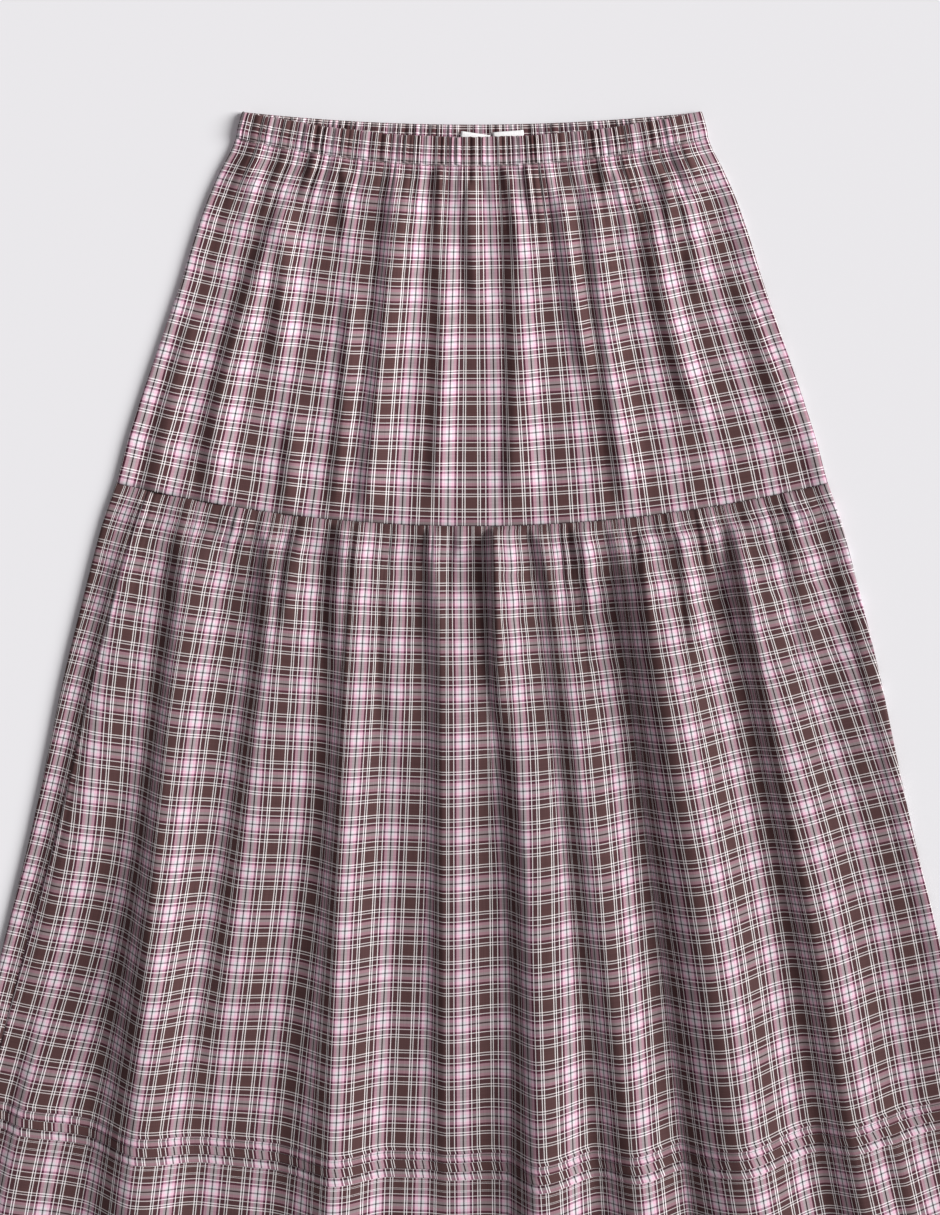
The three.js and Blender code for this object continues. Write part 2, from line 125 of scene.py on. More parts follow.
LOWER_FOLDS = np.array([
    [296, -259, 427, -284, 700, -352, 6.5, 40, 150, 19, 19, 38, 0.0],
    [290, -214, 503, -234, 760, -254, 10.0, 40, 160, 15, 26, 40, 0.0],
    [420, -228, 655, -248, 960, -268, 15.5, 260, 60, 26, 43, 56, 0.1],
    [300, -139, 335, -139, 385, -141, 3.0, 20, 40, 10, 10, 22, 0.0],
    [300, -146, 503, -169, 800, -214, 8.0, 40, 160, 15, 28, 48, 0.2],
    [285, -91, 480, -98, 700, -106, 9.5, 30, 220, 17, 24, 34, 0.6],
    [430, -97, 655, -105, 960, -111, 15.5, 280, 60, 24, 56, 48, 0.6],
    [325, -64, 395, -62, 475, -61, 3.5, 25, 45, 11, 11, 25, 0.0],
    [320, -24, 560, -22, 900, -19, 7.5, 50, 260, 13, 15, 45, 0.3],
    [295, 18, 380, 21, 470, 24, 8.0, 12, 70, 6.5, 9, 30, -0.8],
    [400, 26, 541, 41, 960, 45, 14.5, 110, 60, 14, 26, 55, -0.4],
    [650, 44, 780, 46, 960, 46, 5.5, 90, 40, 34, 42, 48, 0.0],
    [296, 57, 579, 96, 960, 148, 14.5, 240, 60, 14, 38, 42, 0.0],
    [296, 124, 579, 173, 960, 232, 20.5, 60, 60, 20, 54, 58, -0.8],
    [296, 149, 345, 162, 410, 173, 3.5, 20, 50, 10, 10, 22, 0.0],
    [298, 198, 579, 255, 960, 322, 12.0, 50, 60, 14, 32, 50, 0.1],
    [290, 240, 351, 249, 420, 262, 4.5, 30, 50, 11, 11, 25, 0.0],
    [300, 276, 442, 312, 570, 344, 3.0, 40, 80, 10, 11, 20, 0.0],
    [720, 312, 800, 332, 960, 368, 5.5, 70, 40, 13, 15, 30, 0.0],
    [640, -318, 780, -348, 960, -378, 4.5, 90, 40, 13, 16, 45, 0.0],
    # Short creases under the seam
    [298, -153, 335, -156, 400, -163, 4.5, 6, 60, 7, 9, 14, -0.8],
    [296, -133, 340, -139, 400, -146, 3.5, 8, 60, 6, 7, 12, -0.6],
    [292, -101, 330, -103, 420, -107, 4.0, 6, 70, 6, 8, 10, -0.8],
    [296, -30, 340, -29, 420, -30, 3.5, 6, 80, 7, 8, 12, -0.8],
    [296, 16, 360, 17.5, 450, 19, 5.5, 4, 90, 4, 5, 10, -0.9],
    [296, 46, 330, 57, 400, 63, 4.5, 8, 90, 6, 8, 12, -0.7],
    [296, 80, 335, 86, 420, 93, 4.5, 6, 100, 6, 8, 14, -0.7],
    [296, 107, 330, 112, 400, 120, 3.0, 6, 60, 6, 7, 12, -0.6],
    [298, 130, 330, 131, 390, 138, 3.5, 6, 60, 5, 7, 12, -0.7],
    [298, 158, 335, 163, 420, 174, 4.0, 6, 80, 6, 8, 14, -0.7],
    [292, 200, 330, 206, 420, 219, 5.0, 8, 90, 9, 11, 14, -0.6],
])

# Under the elastic the cloth is bunched lengthwise too: distance along, cloth still to come
BUNCH = [(0, 7.0), (15, 6.3), (52, 4.3), (120, 1.1), (160, 0.2), (200, 0.0), (295, 0.0)]

# Gathers: count across the front, height at the stitching, full height, highest at, run,
# share of the cloth that is drawn in evenly
UPPER_GATHERS = (46, 1.9, 3.9, 12.0, 120.0, 4.0)
LOWER_GATHERS = (56, 1.6, 4.0, 18.0, 130.0, 0.0)
CASING_RUFFLES = 70

# Rows of the front dip towards the hem on a gather, by this share of its height
GATHER_DIP = 0.2

# Four pressed tucks across the lower tier: node, place of the folded edge, depth
TUCKS = [
    ("pintuck_first", 770.0, 3.7),
    ("pintuck_second", 776.7, 3.9),
    ("pintuck_third", 783.6, 6.2),
    ("pintuck_fourth", 790.2, 5.3),
]

# How far the check leans sideways in a tuck, for each millimetre turned in
TUCK_SKEW = 0.25

# Labels: left upper corner, size, turn in degrees
LABELS = [
    ("label_main", -8.2, -4.4, 22.5, 13.5, -8.5),
    ("label_size", 15.6, -3.4, 23.5, 13.0, 4.5),
]

# Repeat of the check
REPEAT = 35.1

# Columns across a front piece, and steps round a side edge
FRONT_COLUMNS = 641
EDGE_STEPS = 5


def smooth(low, high, at):
    """Soft step from 0 at low to 1 at high."""
    share = np.clip((np.asarray(at, float) - low) / (high - low), 0, 1)
    return share * share * (3 - 2 * share)


def curve(table, at):
    """Smooth curve through the rows of a table."""
    xs = np.array([r[0] for r in table], float)
    ys = np.array([r[1] for r in table], float)
    at = np.asarray(at, float)
    last = len(xs) - 1
    i = np.clip(np.searchsorted(xs, at, side="left") - 1, 0, last - 1)
    before = np.maximum(i - 1, 0)
    after = np.minimum(i + 2, last)
    step = xs[i + 1] - xs[i]
    t = (at - xs[i]) / step
    slope_a = (ys[i + 1] - ys[before]) / (xs[i + 1] - xs[before]) * step
    slope_b = (ys[after] - ys[i]) / (xs[after] - xs[i]) * step
    t2, t3 = t * t, t * t * t
    inside = (
        (2 * t3 - 3 * t2 + 1) * ys[i] + (t3 - 2 * t2 + t) * slope_a
        + (3 * t2 - 2 * t3) * ys[i + 1] + (t3 - t2) * slope_b
    )
    inside = np.where(t < 0, ys[i] + slope_a * t, inside)
    return np.where(t > 1, ys[i + 1] + slope_b * (t - 1), inside)


def crest(fold, down):
    """Sideways place of a fold's crest."""
    d0, x0, d1, x1, d2, x2 = fold[:6]
    return (
        x0 * (down - d1) * (down - d2) / ((d0 - d1) * (d0 - d2))
        + x1 * (down - d0) * (down - d2) / ((d1 - d0) * (d1 - d2))
        + x2 * (down - d0) * (down - d1) / ((d2 - d0) * (d2 - d1))
    )


def flank(t, crisp):
    """Height of the steep flank, from the fold's foot at t 0 to its crest at t 1."""
    even = 0.35 * t + 0.65 * (0.5 - 0.5 * np.cos(np.pi * t))
    sharp = 1 - np.cos(0.5 * np.pi * t) if crisp > 0 else np.sin(0.5 * np.pi * t)
    return even + (sharp - even) * abs(crisp)


def fold_height(folds, x, down):
    """Height of all the folds together."""
    total = np.zeros(np.broadcast(x, down).shape)
    for fold in folds:
        high, fade_in, fade_out, steep_top, steep_end, gentle, crisp = fold[6:]
        share = (down - fold[0]) / (fold[4] - fold[0])
        steep = steep_top + (steep_end - steep_top) * share
        away = x - crest(fold, down)
        left = np.clip(1 + away / np.maximum(steep, 1), 0, 1)
        right = np.clip(1 - away / gentle, 0, 1)
        shape = np.where(away < 0, flank(left, crisp), 0.5 - 0.5 * np.cos(np.pi * right))
        strength = smooth(0, fade_in, down - fold[0]) * smooth(0, fade_out, fold[4] - down)
        total += high * strength * shape
    return total


def uneven(share):
    """Share of the way across, shifted a little so that waves differ in width."""
    return share + 0.006 * np.sin(share * 31) + 0.0035 * np.sin(share * 67 + 1.3)


def gather_waves(count, share):
    """Two sets of gathers across a piece, each 0 in its valleys and 1 on its crests."""
    place = uneven(share)
    wander = 0.9 * np.sin(place * 53) + 0.7 * np.sin(place * 97 + 1.0)
    fine = np.abs(np.sin(np.pi * place * count + wander)) ** 0.55
    wide = np.abs(np.sin(0.5 * np.pi * place * count + 1.2 * np.sin(place * 37))) ** 0.7
    return place, fine, wide


def gather_height(gathers, share, below):
    """Fine gathers that die away below a line of stitching. The sines make neighbours differ."""
    count, first, full, rise, run, _ = gathers
    place, fine, wide = gather_waves(count, share)
    strong = 0.64 + 0.27 * np.sin(place * 41 + 0.8) + 0.26 * np.sin(place * 113 + 2.0)
    grown = first + (full - first) * smooth(0, rise, below)
    reach = run * (0.75 + 0.35 * np.sin(place * 23) + 0.25 * np.sin(place * 71))
    near = 1 - smooth(rise * 0.6, reach * 0.55, below)
    far = 1 - smooth(rise, reach * 1.25, below)
    return grown * strong * (0.72 * fine * near + 0.64 * wide * far)


def gather_valleys(gathers, share, below):
    """How much more cloth lies hidden in the gathers' valleys than on their crests."""
    count, _, _, rise, run, evenly = gathers
    _, fine, wide = gather_waves(count, share)
    near = 1 - smooth(rise, run * 0.6, below)
    far = 1 - smooth(rise, run, below)
    hidden = near * np.exp(-((fine / 0.42) ** 2)) * 2.2 + far * np.exp(-((wide / 0.3) ** 2)) * 1.4
    return 0.05 + evenly * (1 - smooth(0, run, below)) + hidden


def row_sizes(v):
    """Rise of a row towards its ends, and its half width."""
    rise = curve(ROW_CURVE, v)
    return rise, curve(OUTLINE, v - rise)


# Room between front and back: at the side edges, more in the middle, and where it opens up
ROOM_SIDE = 1.8
ROOM_MIDDLE = 3.4
ROOM_FROM = 20
ROOM_TO = 90

# Run over which the front bends down into its rolled side edge
EDGE_RUN = 15


def front_surface(v, x, wall, radius, gathers, start, folds):
    """Height of the middle of the front wall, and how far it dips towards the hem."""
    rise, half = row_sizes(v)
    reach = half - radius - wall / 2
    down = v - rise * (x / half) ** 2
    share = np.clip(np.abs(x) / reach, 0, 1)
    full = 1 - smooth(ROOM_FROM, ROOM_TO, v)
    room = (ROOM_SIDE + ROOM_MIDDLE * (1 - share ** 8)) * full
    base = CLOTH + SEAM_GAP + room + wall / 2
    rolled = wall / 2 + 2 * radius
    edge = smooth(reach - EDGE_RUN, reach, np.abs(x))
    lift = np.zeros(np.broadcast(v, x).shape)
    if folds is not None:
        lift = lift + fold_height(folds, x, down)
    dip = curve(DIP, v) * lift * (1 - edge)
    if gathers is not None:
        place = (x / reach + 1) / 2
        fade = smooth(0, 0.05, 1 - np.abs(x) / reach)
        gather = gather_height(gathers, place, v - start) * fade
        lift = lift + gather
        dip = dip + GATHER_DIP * gather * smooth(0, 15, v - start) * (1 - edge)
    return base * (1 - edge) + lift * (1 - edge) + rolled * edge, dip


def add_mesh(name, grid_xyz, grid_uv, material, flip=False, solid=SHELL):
    """A smooth shaded sheet through a grid of places, in millimetres."""
    rows, cols = grid_xyz.shape[:2]
    index = np.arange(rows * cols).reshape(rows, cols)
    a, b = index[:-1, :-1], index[:-1, 1:]
    c, d = index[1:, 1:], index[1:, :-1]
    quads = np.stack([a, d, c, b], -1) if not flip else np.stack([a, b, c, d], -1)
    quads = quads.reshape(-1, 4)
    mesh = bpy.data.meshes.new(name)
    mesh.from_pydata((grid_xyz.reshape(-1, 3) * MM).tolist(), [], quads.tolist())
    layer = mesh.uv_layers.new(name="cloth")
    uv = (grid_uv.reshape(-1, 2) * MM)[quads.reshape(-1)]
    layer.data.foreach_set("uv", uv.reshape(-1))
    mesh.polygons.foreach_set("use_smooth", [True] * len(mesh.polygons))
    mesh.materials.append(material)
    mesh.update()
    piece = bpy.data.objects.new(name, mesh)
    bpy.context.scene.collection.objects.link(piece)
    if solid:
        wall = piece.modifiers.new("wall", "SOLIDIFY")
        wall.thickness = solid * MM
        wall.offset = 0
    return piece


# Folds that start this near a line of stitching hide cloth from their first row on
WAIST_STARTS = 100
SEAM_STARTS = (280, 340)


def hidden_cloth(folds, x, down, below):
    """Where cloth lies hidden in the folds: spread near the stitching, at the edge below."""
    spread = 1.6 + 5.0 * (1 - smooth(0, 60, below))
    total = np.zeros(np.broadcast(x, down).shape)
    for fold in folds:
        high, fade_in, fade_out, steep_top, steep_end, gentle, crisp = fold[6:]
        share = (down - fold[0]) / (fold[4] - fold[0])
        steep = np.maximum(steep_top + (steep_end - steep_top) * share, 1)
        away = x - crest(fold, down)
        edge_at = -0.5 * steep * (1 - crisp)
        wide = spread + 0.15 * steep * (1 - abs(crisp))
        stitched = fold[0] < WAIST_STARTS or SEAM_STARTS[0] < fold[0] < SEAM_STARTS[1]
        begins = 1 if stitched else smooth(0, 200, down - fold[0] + 20)
        strength = begins * smooth(0, fade_out, fold[4] - down)
        total += high * strength * np.exp(-0.5 * ((away - edge_at) / wide) ** 2) / wide
    return total


def cloth_across(x, z, v, cut, anchor=0.0, folds=None, start=0.0, gathers=None, close=0.5):
    """Places across the cut cloth: what is beyond a row's own length lies in folds and gathers."""
    dx = np.diff(x, axis=1)
    dz = np.diff(z, axis=1)
    length = np.sqrt(dx ** 2 + dz ** 2)
    spare = np.maximum(cut - length.sum(axis=1, keepdims=True), 0)
    middle = (x[:, 1:] + x[:, :-1]) / 2
    rise, half = row_sizes(v)
    shares = length
    if gathers is not None:
        shares = length * gather_valleys(gathers, (middle / half + 1) / 2, v - start)
    shares = shares / shares.sum(axis=1, keepdims=True)
    if folds is not None:
        down = v - rise * (middle / half) ** 2
        below = v - start
        near = 0.15 + (close - 0.15) * (1 - smooth(5, 90, below))
        weight = hidden_cloth(folds, middle, down, below) * np.maximum(dx, 0)
        shares = near * shares + (1 - near) * weight / weight.sum(axis=1, keepdims=True)
    length = length + spare * shares
    run = np.concatenate([np.zeros((len(x), 1)), np.cumsum(length, axis=1)], axis=1)
    return run - across_at(run, x, anchor)


# Warp lines run nearly straight: each place is a mean over rows around it, weighted by a bell
# curve with this spread, over so many rows and as many spreads to both sides
STEADY = 80
STEADY_ROWS = 9
STEADY_REACH = 1.5


def steady_across(v, stations, piece, cut, anchor):
    """Places across the cut cloth for rows v, with the same columns for every row."""
    total = 0
    weights = 0
    for step in np.linspace(-STEADY_REACH, STEADY_REACH, STEADY_ROWS):
        rows = np.clip(v + step * STEADY, piece["start"], piece["end"])
        x, _, z = loop_grid(rows, stations(rows), piece)
        places = cloth_across(
            x, z, rows[:, None], cut, anchor, piece["folds"], piece["start"], piece["gathers"],
            piece["close"],
        )
        weight = math.exp(-0.5 * step * step)
        total = total + weight * places
        weights += weight
    return total / weights


def across_at(run, x, anchor):
    """The cloth's place at an anchor line of each row, which stays straight."""
    found = []
    for line, places in zip(run, x):
        front = np.argmax(np.diff(places) > 0)
        order = slice(front, front + int((np.diff(places) > 0).sum()))
        found.append(np.interp(anchor, places[order], line[order]))
    return np.array(found)[:, None]


def loop_grid(v, stations, piece):
    """Places on the loop round the flat skirt, as in the solid model, for rows v and stations."""
    wall, radius = piece["wall"], piece["radius"]
    v = np.asarray(v, float)[:, None]
    s = np.broadcast_to(np.asarray(stations, float), (len(v), np.shape(stations)[-1]))
    rise, half = row_sizes(v)
    reach = half - radius - wall / 2
    low = wall / 2
    x = reach * np.clip(s, -1, 1)
    z, dip = front_surface(v, x, wall, radius, piece["gathers"], piece["start"], piece["folds"])
    side = np.sign(s)
    angle = np.clip(np.abs(s) - 1, 0, 1) * np.pi
    turned = (np.abs(s) > 1) & (np.abs(s) < 2)
    x = np.where(turned, side * (reach + radius * np.sin(angle)), x)
    z = np.where(turned, low + radius + radius * np.cos(angle), z)
    under = np.abs(s) >= 2
    x_under = np.where(s > 0, reach * (3 - s), reach * (-3 - s))
    x = np.where(under, x_under, x)
    z = np.where(under, low, z)
    dip = np.where(turned | under, 0, dip)
    share = np.clip(np.abs(x) / half, 0, 1)
    y = TOP_Y - v + rise * share ** 2 - dip
    return x, y, z


def math_node(tree, kind, *inputs):
    """A Math node fed by numbers or sockets."""
    node = tree.nodes.new("ShaderNodeMath")
    node.operation = kind
    for i, value in enumerate(inputs):
        if isinstance(value, (int, float)):
            node.inputs[i].default_value = value
        else:
            tree.links.new(value, node.inputs[i])
    return node.outputs[0]


def srgb(r, g, b):
    """Light of a screen colour."""
    def channel(c):
        c /= 255
        return c / 12.92 if c <= 0.04045 else ((c + 0.055) / 1.055) ** 2.4
    return (channel(r), channel(g), channel(b), 1)


# Threads mix by eye, between light and tone: colours are mixed at this root of their light
MIX_ROOT = 1.9


def tone(r, g, b):
    """A thread's colour ready for mixing."""
    light = srgb(r, g, b)
    return tuple(c ** (1 / MIX_ROOT) for c in light[:3]) + (1,)


# Threads from the black line outwards to half a repeat: distance in millimetres, colour
SETT = [
    (0.00, tone(20, 24, 27)),
    (0.50, tone(216, 210, 215)),
    (2.40, tone(227, 185, 203)),
    (4.70, tone(74, 20, 46)),
    (6.46, tone(255, 252, 251)),
    (7.12, tone(70, 40, 46)),
    (10.50, tone(255, 252, 251)),
    (11.16, tone(46, 27, 33)),
    (12.40, tone(255, 252, 251)),
    (13.06, tone(80, 53, 53)),
]


# The warp covers more of the cloth's face than the weft, and the thick white threads more still.
# White threads are those with more green than this. Last, the share of tone that varies by yarn.
WEFT_SHARE = 0.42
LINE_SHARE = 0.21
WHITE_FROM = 0.95
YARN_VARIES = 0.5

# Yarn streaks in a metre, along and across a yarn, and the cloth's slow waves
YARN_LONG = 25.0
YARN_FINE = 1400.0
CLOTH_WAVES = 55.0


def sett(tree, across, shift):
    """Thread colour from the place across the cloth, in metres."""
    shifted = math_node(tree, "SUBTRACT", across, shift * MM)
    turned = math_node(tree, "DIVIDE", shifted, REPEAT * MM)
    half = math_node(tree, "PINGPONG", turned, 0.5)
    ramp = tree.nodes.new("ShaderNodeValToRGB")
    ramp.color_ramp.interpolation = "CONSTANT"
    stops = ramp.color_ramp.elements
    while len(stops) > 1:
        stops.remove(stops[-1])
    stops[0].position = 0
    stops[0].color = SETT[0][1]
    for at, colour in SETT[1:]:
        stop = stops.new(at / (REPEAT / 2))
        stop.color = colour
    tree.links.new(math_node(tree, "MULTIPLY", half, 2.0), ramp.inputs[0])
    return ramp.outputs[0]


def noise_node(tree, place, scale, detail):
    """Noise over the cloth, with its own scale across and along."""
    stretched = tree.nodes.new("ShaderNodeVectorMath")
    stretched.operation = "MULTIPLY"
    stretched.inputs[1].default_value = scale
    tree.links.new(place, stretched.inputs[0])
    noise = tree.nodes.new("ShaderNodeTexNoise")
    noise.inputs["Scale"].default_value = 1.0
    noise.inputs["Detail"].default_value = detail
    tree.links.new(stretched.outputs[0], noise.inputs["Vector"])
    return noise.outputs[0]


def is_white(tree, colour):
    """One on the white lines of the sett, nothing elsewhere."""
    parts = tree.nodes.new("ShaderNodeSeparateColor")
    tree.links.new(colour, parts.inputs[0])
    return math_node(tree, "GREATER_THAN", parts.outputs["Green"], WHITE_FROM)


def cloth_material(name, shift_across, shift_along, painted_light_share):
    """The checked cotton, with the check shifted for one tier and its tone scaled by that tier's
    painted light share.
    """
    material = bpy.data.materials.new(name)
    material.use_nodes = True
    tree = material.node_tree
    shader = tree.nodes["Principled BSDF"]
    place = tree.nodes.new("ShaderNodeUVMap")
    place.uv_map = "cloth"
    parts = tree.nodes.new("ShaderNodeSeparateXYZ")
    tree.links.new(place.outputs[0], parts.inputs[0])
    warp = sett(tree, parts.outputs[0], shift_across)
    weft = sett(tree, parts.outputs[1], shift_along)
    more = math_node(tree, "MULTIPLY", is_white(tree, weft), LINE_SHARE)
    less = math_node(tree, "MULTIPLY", is_white(tree, warp), LINE_SHARE)
    cover = math_node(tree, "ADD", math_node(tree, "SUBTRACT", more, less), WEFT_SHARE)
    mixed = tree.nodes.new("ShaderNodeMix")
    mixed.data_type = "RGBA"
    tree.links.new(cover, mixed.inputs["Factor"])
    tree.links.new(warp, mixed.inputs["A"])
    tree.links.new(weft, mixed.inputs["B"])
    yarns = math_node(
        tree, "ADD",
        noise_node(tree, place.outputs[0], (YARN_FINE, YARN_LONG, 1.0), 2.0),
        noise_node(tree, place.outputs[0], (YARN_LONG, YARN_FINE, 1.0), 2.0),
    )
    # Tone that varies by yarn, scaled by the tier's painted light share: painted light on the
    # upper tier, painted shade on the lower
    shade = math_node(
        tree, "MULTIPLY_ADD", yarns, YARN_VARIES * painted_light_share, (1.0 - YARN_VARIES) * painted_light_share,
    )
    light = tree.nodes.new("ShaderNodeGamma")
    light.inputs["Gamma"].default_value = MIX_ROOT
    tree.links.new(mixed.outputs["Result"], light.inputs[0])
    varied = tree.nodes.new("ShaderNodeVectorMath")
    varied.operation = "SCALE"
    tree.links.new(light.outputs[0], varied.inputs[0])
    tree.links.new(shade, varied.inputs["Scale"])
    tree.links.new(varied.outputs[0], shader.inputs["Base Color"])
    shader.inputs["Roughness"].default_value = 0.85
    shader.inputs["Specular IOR Level"].default_value = 0.25
    shader.inputs["Sheen Weight"].default_value = 0.08
    shader.inputs["Sheen Roughness"].default_value = 0.5
    noise = noise_node(tree, place.outputs[0], (CLOTH_WAVES, CLOTH_WAVES, 1.0), 3.0)
    bump = tree.nodes.new("ShaderNodeBump")
    bump.inputs["Strength"].default_value = 0.25
    bump.inputs["Distance"].default_value = 0.0015
    tree.links.new(noise, bump.inputs["Height"])
    tree.links.new(bump.outputs[0], shader.inputs["Normal"])
    return material


def plain_material(name, colour, roughness):
    """Plain paint, for the ground alone."""
    material = bpy.data.materials.new(name)
    material.use_nodes = True
    shader = material.node_tree.nodes["Principled BSDF"]
    shader.inputs["Base Color"].default_value = colour
    shader.inputs["Roughness"].default_value = roughness
    return material


# Share of a plain yarn's tone that varies from place to place
YARN_TONE = 0.3


def yarn_material(name, colour, roughness, fine=2200.0, coarse=300.0):
    """Plain yarn, with streaks both ways in tone and relief."""
    material = bpy.data.materials.new(name)
    material.use_nodes = True
    tree = material.node_tree
    shader = tree.nodes["Principled BSDF"]
    place = tree.nodes.new("ShaderNodeTexCoord").outputs["Object"]
    yarns = math_node(
        tree, "ADD",
        noise_node(tree, place, (fine, coarse, coarse), 2.0),
        noise_node(tree, place, (coarse, fine, coarse), 2.0),
    )
    varied = tree.nodes.new("ShaderNodeVectorMath")
    varied.operation = "SCALE"
    varied.inputs[0].default_value = colour[:3]
    share = math_node(tree, "MULTIPLY_ADD", yarns, YARN_TONE, 1.0 - YARN_TONE)
    tree.links.new(share, varied.inputs["Scale"])
    tree.links.new(varied.outputs[0], shader.inputs["Base Color"])
    shader.inputs["Roughness"].default_value = roughness
    bump = tree.nodes.new("ShaderNodeBump")
    bump.inputs["Strength"].default_value = 0.3
    bump.inputs["Distance"].default_value = 0.0002
    tree.links.new(yarns, bump.inputs["Height"])
    tree.links.new(bump.outputs[0], shader.inputs["Normal"])
    return material


# Painted light and painted shade: the same cloth is drawn a little lighter on the upper tier and
# darker on the lower tier, where less light falls
UPPER_PAINTED_LIGHT = 1.11
LOWER_PAINTED_SHADE = 0.91

# Where the check's black line lies across and along the cloth, and the x of the straight warp line
UPPER_SHIFT = (17.55, 14.15)
LOWER_SHIFT = (17.55, 0.0)
UPPER_ANCHOR = -0.4
LOWER_ANCHOR = -23.0
upper_cloth = cloth_material("upper_cloth", *UPPER_SHIFT, UPPER_PAINTED_LIGHT)
lower_cloth = cloth_material("lower_cloth", *LOWER_SHIFT, LOWER_PAINTED_SHADE)
label_cloth = yarn_material("label_cloth", srgb(250, 250, 250), 0.9)

UPPER = {
    "wall": CLOTH, "radius": EDGE_RADIUS, "start": CASING_DROP,
    "end": TIER_DROP, "gathers": UPPER_GATHERS, "folds": UPPER_FOLDS, "close": 0.85,
}
LOWER = {
    "wall": CLOTH, "radius": EDGE_RADIUS, "start": TIER_DROP,
    "end": LENGTH, "gathers": LOWER_GATHERS, "folds": LOWER_FOLDS, "close": 0.2,
}
CASING = {
    "wall": CASING_CLOTH, "radius": CASING_EDGE_RADIUS, "start": 0,
    "gathers": None, "folds": None,
}


def fine_rows(first, last, count, lead):
    """Rows that lie closer together near the first one."""
    t = np.linspace(0, 1, count)
    return first + (last - first) * ((1 - lead) * t + lead * t * t)


def edge_stations():
    """Steps round a side edge, without its ends."""
    return np.linspace(0, 1, EDGE_STEPS + 1)[1:-1]


# Pinch under a line of stitching, cloth turned in over the tier seam, welt of the side seam
SEAM_PINCH = 0.6
SEAM_RAISE = 0.5
SIDE_WELT = 1.1

ROOT = list(frame["bodies"])[0]


def ring_stations(v=None):
    """Stations of a front piece that ends under the skirt at both side edges."""
    front = np.linspace(-1, 1, FRONT_COLUMNS)
    return np.concatenate([[-2], -2 + edge_stations(), front, 1 + edge_stations(), [2]])


def upper_along(v):
    """Place along the cut cloth of the upper tier."""
    return v - curve(BUNCH, v)


def upper_front():
    v = fine_rows(CASING_DROP, TIER_DROP, 60, 0.65)
    x, y, z = loop_grid(v, ring_stations(), UPPER)
    on_top = (np.abs(ring_stations()) < 1)[None, :]
    pinched = SEAM_PINCH * (1 - smooth(0, 5, v - CASING_DROP))
    raised = SEAM_RAISE * smooth(TIER_DROP - 8, TIER_DROP - 1, v)
    z = z + np.where(on_top, (raised - pinched)[:, None], 0)
    u = steady_across(v, ring_stations, UPPER, UPPER_CUT, UPPER_ANCHOR)
    uv = np.stack([u, np.broadcast_to(upper_along(v)[:, None], u.shape)], -1)
    return add_mesh("upper_front", np.stack([x, y, z], -1), uv, upper_cloth)


# The lower tier's check is stretched along by this much in all, from here on and over this run
STRETCH = 5.6
STRETCH_FROM = 386
STRETCH_RUN = 379


def lower_along(v):
    """Place along the cut cloth of the lower tier."""
    return v - STRETCH * np.clip((np.asarray(v, float) - STRETCH_FROM) / STRETCH_RUN, 0, 1)


def seam_inset(v):
    """How far the left side seam stands in from the edge, in stations."""
    _, half = row_sizes(v)
    return curve(SEAM_INSET, v) / (half - EDGE_RADIUS - CLOTH / 2)


def lower_stations(v):
    """Stations from the side seam on top, round the right edge, to the seam underneath."""
    grid = np.linspace(-1, 1, FRONT_COLUMNS)
    inset = seam_inset(v)
    first = -1 + inset
    top = first[:, None] + (grid[None, :] + 1) / 2 * (1 - first[:, None])
    edge = np.broadcast_to(1 + edge_stations(), (len(v), EDGE_STEPS - 1))
    end = (2 + inset)[:, None]
    two = np.full((len(v), 1), 2.0)
    return np.concatenate([top, edge, two, end], axis=1)


def lower_front():
    fine_to = 560
    v = np.concatenate([
        fine_rows(TIER_DROP, fine_to, 40, 0.7), np.linspace(fine_to, LENGTH, 34)[1:],
    ])
    stations = lower_stations(v)
    x, y, z = loop_grid(v, stations, LOWER)
    pinched = SEAM_PINCH * (1 - smooth(0, 4, v - TIER_DROP))
    from_seam = x - x[:, :1]
    welt = SIDE_WELT * (smooth(0, 1.4, from_seam) - smooth(1.4, 4.5, from_seam))
    z = z + np.where(np.abs(stations) < 1, welt - pinched[:, None], 0)
    u = steady_across(v, lower_stations, LOWER, LOWER_CUT, LOWER_ANCHOR)
    jump = sum(2 * depth * smooth(edge - 1.2, edge - 0.2, v) for _, edge, depth in TUCKS)
    along = lower_along(v) + jump
    uv = np.stack([u, np.broadcast_to(along[:, None], u.shape)], -1)
    return add_mesh("lower_front", np.stack([x, y, z], -1), uv, lower_cloth)


def back_grid(v, columns, piece):
    """Places on a back piece, whose waist edge stands above the front's."""
    v = np.asarray(v, float)[:, None]
    rise, half = row_sizes(v)
    reach = half - piece["radius"] - piece["wall"] / 2
    x = reach * columns[None, :]
    longer = BACK_RISE * (1 - columns[None, :] ** 2) * (1 - v / TIER_DROP)
    y = TOP_Y - v + rise * (x / half) ** 2 + np.maximum(0, longer)
    return x, y


# The back lies under the skirt's weight, so its gathers keep this share of their height
BACK_GATHERS = 0.18

LOWER_BACK_SHIFT = 11
CASING_BACK_SHIFT = 9


def upper_back():
    v = np.linspace(CASING_DROP, TIER_DROP, 40)
    columns = np.linspace(-1, 1, 181)
    x, y = back_grid(v, columns, UPPER)
    below = v[:, None] - CASING_DROP
    share = (columns[None, :] + 1) / 2
    wave = gather_height(UPPER_GATHERS, share, below) * BACK_GATHERS
    z = CLOTH / 2 + wave * smooth(0, 0.04, 1 - np.abs(columns))[None, :]
    u = cloth_across(x, z, v[:, None], UPPER_CUT)
    uv = np.stack([u, np.broadcast_to(v[:, None], u.shape)], -1)
    return add_mesh("upper_back", np.stack([x, y, z], -1), uv, upper_cloth, flip=True)


